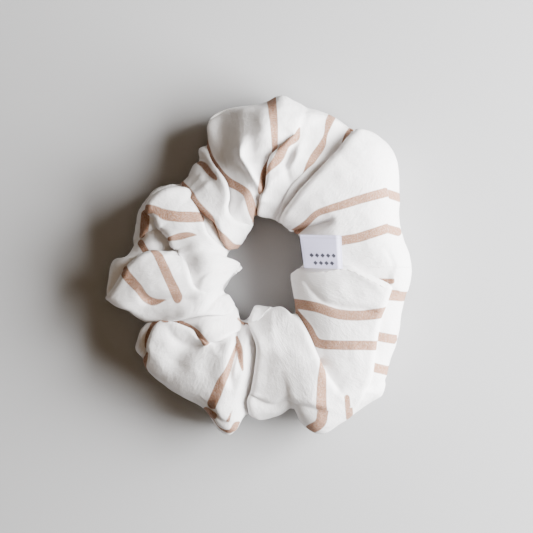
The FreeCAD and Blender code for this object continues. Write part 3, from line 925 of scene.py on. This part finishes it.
def stitches(name, spans, material):
    """One mesh of short thread segments, each from one place to another and pinched at its ends."""
    sides, rings = STITCH_SIDES, STITCH_RINGS
    vertices, faces = [], []
    for start, end in spans:
        start, end = np.array(start, float), np.array(end, float)
        way = (end - start) / np.linalg.norm(end - start)
        across = np.cross(way, [0.0, 0.0, 1.0])
        if np.linalg.norm(across) < 1e-3:
            across = np.array([1.0, 0.0, 0.0])
        across /= np.linalg.norm(across)
        up = np.cross(across, way)
        base = len(vertices)
        for share, width in rings:
            for k in range(sides):
                turn = 2 * math.pi * k / sides
                vertices.append(start + (end - start) * share + STITCH_R * width
                                * (across * math.cos(turn) + up * math.sin(turn)))
        for ring in range(len(rings) - 1):
            for k in range(sides):
                a = base + ring * sides + k
                b = base + ring * sides + (k + 1) % sides
                faces.append([a, b, b + sides, a + sides])
        faces.append([base + k for k in reversed(range(sides))])
        last = base + (len(rings) - 1) * sides
        faces.append([last + k for k in range(sides)])
    return mesh_piece(name, vertices, faces, material)


def top_height(grid, places):
    """Height of the cover's upper side at plan places."""
    top = grid[:, :OVER].reshape(-1, 3)
    heights = []
    for place in places:
        away = np.hypot(top[:, 0] - place[0], top[:, 1] - place[1])
        near = np.argsort(away)[:TOP_NEAREST]
        near = near[top[near, 2] > top[near, 2].max() - TOP_FALL]
        weight = 1 / (away[near] + 0.1)
        heights.append((top[near, 2] * weight).sum() / weight.sum())
    return np.array(heights)


def make_closing_thread(grid, material):
    """Topstitching along the closing seam."""
    line = smooth_line(CLOSING_SEAM, step=THREAD_STEP)
    steps = np.hypot(*np.diff(line, axis=0).T)
    run = np.concatenate([[0], np.cumsum(steps)])
    starts = np.arange(TOPSTITCH_START, run[-1] - STITCH_LENGTH, STITCH_PITCH)

    def place(at):
        plan = np.column_stack([np.interp(at, run, line[:, 0]), np.interp(at, run, line[:, 1])])
        return np.column_stack([plan, top_height(grid, plan) + TOPSTITCH_RISE])

    spans = list(zip(place(starts), place(starts + STITCH_LENGTH)))
    return stitches("closing_seam_stitches", spans, material)


def make_long_thread(grid, material):
    """The running stitches of the seam along the tube, on its allowance inside."""
    seam = smooth_line(LONG_SEAM, step=THREAD_STEP)
    seam_angle = np.degrees(np.arctan2(seam[:, 1], seam[:, 0]))
    seam_radius = np.hypot(seam[:, 0], seam[:, 1])
    order = np.argsort(seam_angle)
    normal = normals_of(grid)
    around_tube = OVER + UNDER
    columns = []
    for i in range(ROUND):
        angle = math.degrees(math.atan2(grid[i, 0, 1], grid[i, 0, 0]))
        if seam_angle.min() < angle < seam_angle.max():
            want = np.interp(angle, seam_angle[order], seam_radius[order])
            radius = np.hypot(grid[i, :OVER // 2, 0], grid[i, :OVER // 2, 1])
            columns.append(float(np.argmin(np.abs(radius - want))))
        else:
            columns.append(-float(SEAM_COLUMN))
    column = np.round(around(np.array(columns), SEAM_PASSES)).astype(int) % around_tube
    rows = np.arange(ROUND)
    path = grid[rows, column] - normal[rows, column] * (CLOTH + SEAM_INSIDE)
    for _ in range(PATH_PASSES):
        path = 0.5 * path + 0.25 * (np.roll(path, 1, 0) + np.roll(path, -1, 0))
    path = np.vstack([path, path[:1]])
    run = np.concatenate([[0], np.cumsum(np.linalg.norm(np.diff(path, axis=0), axis=1))])
    starts = np.arange(0, run[-1] - STITCH_PITCH, STITCH_PITCH)

    def place(at):
        return np.column_stack([np.interp(at, run, path[:, k]) for k in range(3)])

    spans = list(zip(place(starts), place(starts + STITCH_LENGTH)))
    return stitches("long_seam_stitches", spans, material)


BAND_R = 28.0            # the elastic's loop, thickness, lower edge and width
BAND_T = 1.2
BAND_LOW = 2.0
BAND_H = 8.0
BAND_STEPS = 360         # mesh steps round the loop
BAND_ROWS = 28           # and across the tape
BAND_RIBS = 9
RIB_H = 0.10
BRAID_H = 0.06
BRAID_TURNS = 150        # waves of the braid round the loop
BRAID_SLANT = 18         # how far they slant, in radians across the tape
EDGE_H = 0.25            # the tape thins by this much at its edges
EDGE_STEEP = 12
JOIN_ANGLE = 200.0       # middle of the elastic's lapped join
JOIN_LENGTH = 12.0
ZIGZAG_LEGS = 9
ZIGZAG_SPAN = 0.7        # share of the join that the zigzag runs along
ZIGZAG_EDGE = 0.22       # how near the tape's edges it turns, as a share of its width


def make_elastic(material):
    """Braided elastic: a flat tape on edge, ribbed along and crossed by its braid."""
    rows, sides = BAND_STEPS, 2 * BAND_ROWS
    vertices, faces = [], []
    sweep = math.degrees(JOIN_LENGTH / BAND_R)
    for i in range(rows):
        degrees = 360 * i / rows
        angle = math.radians(degrees)
        off = abs((degrees - JOIN_ANGLE + 180) % 360 - 180)
        lap = 1 - smoothstep(off, sweep / 2 - 1, sweep / 2)
        for k in range(sides):
            share = (k % BAND_ROWS + 0.5) / BAND_ROWS
            outside = k < BAND_ROWS
            up = share if outside else 1 - share
            height = BAND_LOW + BAND_H * up
            rib = RIB_H * math.cos(2 * math.pi * BAND_RIBS * up)
            slant = BRAID_SLANT if int(BAND_RIBS * up) % 2 else -BRAID_SLANT
            braid = BRAID_H * math.sin(angle * BRAID_TURNS + slant * up)
            edge = EDGE_H * max(0.0, 1 - EDGE_STEEP * min(up, 1 - up))
            half = BAND_T / 2 + rib + braid - edge
            radius = BAND_R + (half + BAND_T * float(lap) if outside else -half)
            vertices.append((radius * math.cos(angle), radius * math.sin(angle), height))
    for i in range(rows):
        here, there = i * sides, (i + 1) % rows * sides
        for k in range(sides):
            after = (k + 1) % sides
            faces.append([there + k, there + after, here + after, here + k])
    return mesh_piece("elastic_tape", vertices, faces, material)


def make_elastic_join(material):
    """Zigzag thread across the elastic's lapped ends."""
    sweep = math.degrees(JOIN_LENGTH / BAND_R)
    radius = BAND_R + 1.5 * BAND_T + STITCH_R
    corners = []
    for i in range(ZIGZAG_LEGS + 1):
        angle = math.radians(JOIN_ANGLE + ZIGZAG_SPAN * sweep * (0.5 - i / ZIGZAG_LEGS))
        height = BAND_LOW + BAND_H * (ZIGZAG_EDGE if i % 2 else 1 - ZIGZAG_EDGE)
        corners.append((radius * math.cos(angle), radius * math.sin(angle), height))
    return stitches("elastic_join_stitches", list(zip(corners, corners[1:])), material)


LABEL_TOP = 11.5         # the fold's distance from the sewn edge, along +Y
LABEL_TAPE = 0.24        # thickness of the woven tape
LABEL_AIR = 0.3          # between the two layers at the fold
LABEL_MESH = (72, 56, 9)     # mesh steps across, along each layer and round the fold
LABEL_LEFT = (15.9, 14.3)    # its left and right edges, at the sewn edge and at the fold
LABEL_RIGHT = (29.6, 29.1)
LABEL_SEWN = -0.5        # y of the sewn edge, and how much lower its right end is
LABEL_SKEW = 0.35
LABEL_CAD_T = 0.8        # thickness of the CAD's label
LABEL_RISE = 0.15        # the tape lies this far above the CAD label's underside,
LABEL_ARCH = 0.25        # arches up in the middle
LABEL_CURL = 0.9         # and turns down at its right edge, from this share of its width
LABEL_CURL_AT = 0.86
SEWN_GAP = 0.35          # share of the space between the layers that is left at the sewn edge
BORDER_AWAY = 0.7        # the selvedge line's distance from the edge

# The woven motif: rows of small diamonds, each (distance along, first diamond, how many).
MOTIF_ROWS = ((4.6, 3.3, 5), (1.9, 4.3, 4))
MOTIF_PITCH = 1.95
MOTIF_HALF = 0.85
MOTIF_EDGE = 0.08        # millimetres over which a diamond's edge fades
MOTIF_NONE = 9.0         # stands for no diamond nearby


def label_plane(x):
    """Height of the CAD label's underside at x."""
    low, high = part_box("label")
    slope = (high.z - low.z - LABEL_CAD_T * MM) / (high.x - low.x)
    return low.z / MM + (x - low.x / MM) * slope


def motif(across, along):
    """Signed distance to the woven rows of small diamonds."""
    nearest = np.full(across.shape, MOTIF_NONE)
    for row, first, count in MOTIF_ROWS:
        for k in range(count):
            centre = first + k * MOTIF_PITCH
            away = np.abs(across - centre) + np.abs(along - row)
            nearest = np.minimum(nearest, away - MOTIF_HALF)
    return nearest


def label_sections():
    """The folded tape's sections: (distance along, layer or 0.5 in the fold, turn in the fold)."""
    _, deep, bend = LABEL_MESH
    lower = [(LABEL_TOP * j / deep, 0, 0.0) for j in range(deep + 1)]
    fold = [(LABEL_TOP, 0.5, math.pi * j / bend) for j in range(1, bend)]
    upper = [(LABEL_TOP * (1 - j / deep), 1, 0.0) for j in range(deep + 1)]
    return lower + fold + upper


def make_label(material):
    """Woven tape folded into a loop, with both ends caught in the closing seam."""
    wide = LABEL_MESH[0]
    vertices, marks = [], []
    half = (LABEL_TAPE + LABEL_AIR) / 2
    sections = label_sections()
    for along, layer, turn in sections:
        share = along / LABEL_TOP
        left = LABEL_LEFT[0] + (LABEL_LEFT[1] - LABEL_LEFT[0]) * share
        right = LABEL_RIGHT[0] + (LABEL_RIGHT[1] - LABEL_RIGHT[0]) * share
        gap = half * (SEWN_GAP + (1 - SEWN_GAP) * share)
        for i in range(wide + 1):
            across = i / wide
            x = left + (right - left) * across
            y = LABEL_SEWN + along - LABEL_SKEW * across
            curl = LABEL_CURL * smoothstep(across, LABEL_CURL_AT, 1.0)
            arch = LABEL_ARCH * math.sin(math.pi * across) * math.sin(math.pi * min(share, 1))
            z = label_plane(x) + LABEL_RISE + arch - float(curl)
            if layer == 0.5:
                y += half * math.sin(turn)
                z += half - gap * math.cos(turn)
            else:
                z += half + (gap if layer else -gap)
            vertices.append((x, y, z))
            marks.append((across * (right - left), along, layer))
    faces = []
    for j in range(len(sections) - 1):
        for i in range(wide):
            a = j * (wide + 1) + i
            faces.append([a, a + wide + 1, a + wide + 2, a + 1])
    marks = np.array(marks)
    woven = np.where(marks[:, 2] == 1, motif(marks[:, 0], marks[:, 1]), MOTIF_NONE)
    edge = np.minimum(marks[:, 0], LABEL_TOP - marks[:, 1])
    piece = mesh_piece("woven_label", vertices, faces, material,
                       [("motif", woven), ("border", np.abs(edge - BORDER_AWAY))])
    thick = piece.modifiers.new("thickness", "SOLIDIFY")
    thick.thickness = LABEL_TAPE * MM
    thick.offset = 0
    apply_modifiers(piece)
    return piece


# ---- stage, light and camera ----------------------------------------------------------------
VIEW_WIDTH = 191.9       # what the picture spans at the ring's middle height
VIEW_X = 2.5
VIEW_MID_Z = 20.0
LENS = 200.0
SENSOR = 36.0

FLOOR_SIZE = 6           # in metres, as are the lights' sizes and distances
FLOOR_LOW = -0.0003

# A low soft window to the right, in metres, degrees and watts, and a weak warm room round it.
KEY_AWAY = 0.50
KEY_RISE = 25.5
KEY_TURN = 2.0
KEY_WIDE = 0.46
KEY_TALL = 0.58
KEY_WATTS = 31.5
ROOM_COLOUR = (1.0, 0.76, 0.50, 1)
ROOM_STRENGTH = 0.11
TOP_HEIGHT = 1.4         # warm light that comes back from the ceiling
TOP_SIZE = 0.6
TOP_COLOUR = (1.0, 0.70, 0.42)
TOP_WATTS = 2.0


def make_stage():
    """The surface that the ring lies on."""
    bpy.ops.mesh.primitive_plane_add(size=FLOOR_SIZE, location=(0, 0, FLOOR_LOW))
    floor = bpy.context.object
    floor.name = "floor"
    floor.data.materials.append(floor_material())


def area_light(name, watts):
    """An area light in the scene, which points straight down until it is turned."""
    data = bpy.data.lights.new(name, "AREA")
    data.energy = watts
    lamp = bpy.data.objects.new(name, data)
    bpy.context.scene.collection.objects.link(lamp)
    return lamp


def make_light():
    """The window, the ceiling and the room."""
    key = area_light("key", KEY_WATTS)
    key.data.shape = "RECTANGLE"
    key.data.size = KEY_WIDE
    key.data.size_y = KEY_TALL
    turn, rise = math.radians(KEY_TURN), math.radians(KEY_RISE)
    away = Vector((math.cos(turn) * math.cos(rise), math.sin(turn) * math.cos(rise),
                   math.sin(rise)))
    key.location = away * KEY_AWAY
    key.rotation_mode = "QUATERNION"
    key.rotation_quaternion = (-away).to_track_quat("-Z", "Y")
    ceiling = area_light("ceiling", TOP_WATTS)
    ceiling.data.size = TOP_SIZE
    ceiling.data.color = TOP_COLOUR
    ceiling.location = (0, 0, TOP_HEIGHT)
    world = bpy.data.worlds.new("room")
    world.use_nodes = True
    background = world.node_tree.nodes["Background"]
    background.inputs["Color"].default_value = ROOM_COLOUR
    background.inputs["Strength"].default_value = ROOM_STRENGTH
    bpy.context.scene.world = world


def make_camera():
    """A long lens straight above the ring."""
    distance = VIEW_WIDTH * MM * LENS / SENSOR
    data = bpy.data.cameras.new("camera")
    data.lens = LENS
    data.sensor_width = SENSOR
    camera = bpy.data.objects.new("camera", data)
    bpy.context.scene.collection.objects.link(camera)
    camera.location = (VIEW_X * MM, 0, VIEW_MID_Z * MM + distance)
    bpy.context.scene.camera = camera


make_camera()
make_stage()
make_light()

thread = thread_material()
cover, grid = make_cover(cloth_material())
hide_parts("cover_left", "cover_right")
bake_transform(cover)

long_thread = make_long_thread(grid, thread)
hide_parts("long_seam_thread_left", "long_seam_thread_right")
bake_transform(long_thread)

closing_thread = make_closing_thread(grid, thread)
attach(closing_thread, "right_half")
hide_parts("closing_seam_thread")

elastic = make_elastic(elastic_material())
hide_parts("elastic_band")
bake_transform(elastic)

join_thread = make_elastic_join(thread)
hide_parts("elastic_join_thread")
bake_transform(join_thread)

tab = make_label(label_material())
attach(tab, "label_tab")
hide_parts("label")
